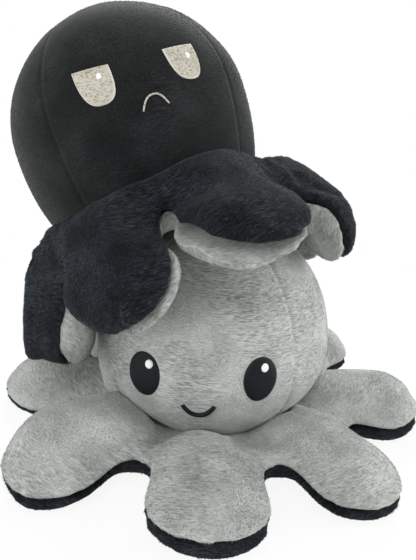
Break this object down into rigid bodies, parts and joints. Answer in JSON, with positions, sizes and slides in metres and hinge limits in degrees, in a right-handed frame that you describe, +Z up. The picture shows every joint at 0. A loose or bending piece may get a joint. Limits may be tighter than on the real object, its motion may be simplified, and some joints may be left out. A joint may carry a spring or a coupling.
{
  "type": "plush octopus",
  "caption": "Reversible plush octopuses stacked: a smiling grey one sits flat, a frowning black one leans on its head with drooping arms.",
  "frame": {"origin": "on the table under the middle of the lower toy's eight arms", "axes": "+Z up, the lower toy's face looks towards -Y, the upper toy leans towards -X and +Y"},
  "size_m": [0.213, 0.213, 0.1916],
  "materials": {
    "grey_plush": "short brushed pile",
    "black_plush": "short brushed pile",
    "polyester_stuffing": "loose fibre",
    "black_thread": "satin stitch",
    "off_white_thread": "satin stitch",
    "white_thread": "satin stitch"
  },
  "bodies": {
    "lower_octopus": {"lower_head_front_panel": "grey_plush", "lower_head_right_panel": "grey_plush", "lower_head_back_panel": "grey_plush", "lower_head_left_panel": "grey_plush", "lower_head_stuffing": "polyester_stuffing", "lower_finger_pocket": "black_plush", "lower_arm_front_top": "grey_plush", "lower_arm_front_underside": "black_plush", "lower_arm_front_right_top": "grey_plush", "lower_arm_front_right_underside": "black_plush", "lower_arm_right_top": "grey_plush", "lower_arm_right_underside": "black_plush", "lower_arm_back_right_top": "grey_plush", "lower_arm_back_right_underside": "black_plush", "lower_arm_back_top": "grey_plush", "lower_arm_back_underside": "black_plush", "lower_arm_back_left_top": "grey_plush", "lower_arm_back_left_underside": "black_plush", "lower_arm_left_top": "grey_plush", "lower_arm_left_underside": "black_plush", "lower_arm_front_left_top": "grey_plush", "lower_arm_front_left_underside": "black_plush", "lower_eye_left": "black_thread", "lower_eye_right": "black_thread", "lower_eye_glint_left": "white_thread", "lower_eye_glint_right": "white_thread", "lower_smile": "black_thread"},
    "upper_octopus": {"upper_head_front_panel": "black_plush", "upper_head_right_panel": "black_plush", "upper_head_back_panel": "black_plush", "upper_head_left_panel": "black_plush", "upper_head_stuffing": "polyester_stuffing", "upper_finger_pocket": "grey_plush", "upper_arm_front_top": "black_plush", "upper_arm_front_underside": "grey_plush", "upper_arm_front_right_top": "black_plush", "upper_arm_front_right_underside": "grey_plush", "upper_arm_right_top": "black_plush", "upper_arm_right_underside": "grey_plush", "upper_arm_back_right_top": "black_plush", "upper_arm_back_right_underside": "grey_plush", "upper_arm_back_top": "black_plush", "upper_arm_back_underside": "grey_plush", "upper_arm_back_left_top": "black_plush", "upper_arm_back_left_underside": "grey_plush", "upper_arm_left_top": "black_plush", "upper_arm_left_underside": "grey_plush", "upper_arm_front_left_top": "black_plush", "upper_arm_front_left_underside": "grey_plush", "upper_eye_left": "off_white_thread", "upper_eye_right": "off_white_thread", "upper_eye_glint_left": "white_thread", "upper_eye_glint_right": "white_thread", "upper_frown": "off_white_thread"}
  },
  "joints": [
    {"name": "upper_octopus_lift", "type": "slide", "parent": "lower_octopus", "child": "upper_octopus", "axis": [0, 0, 1], "range_m": [0, 0.11]}
  ]
}
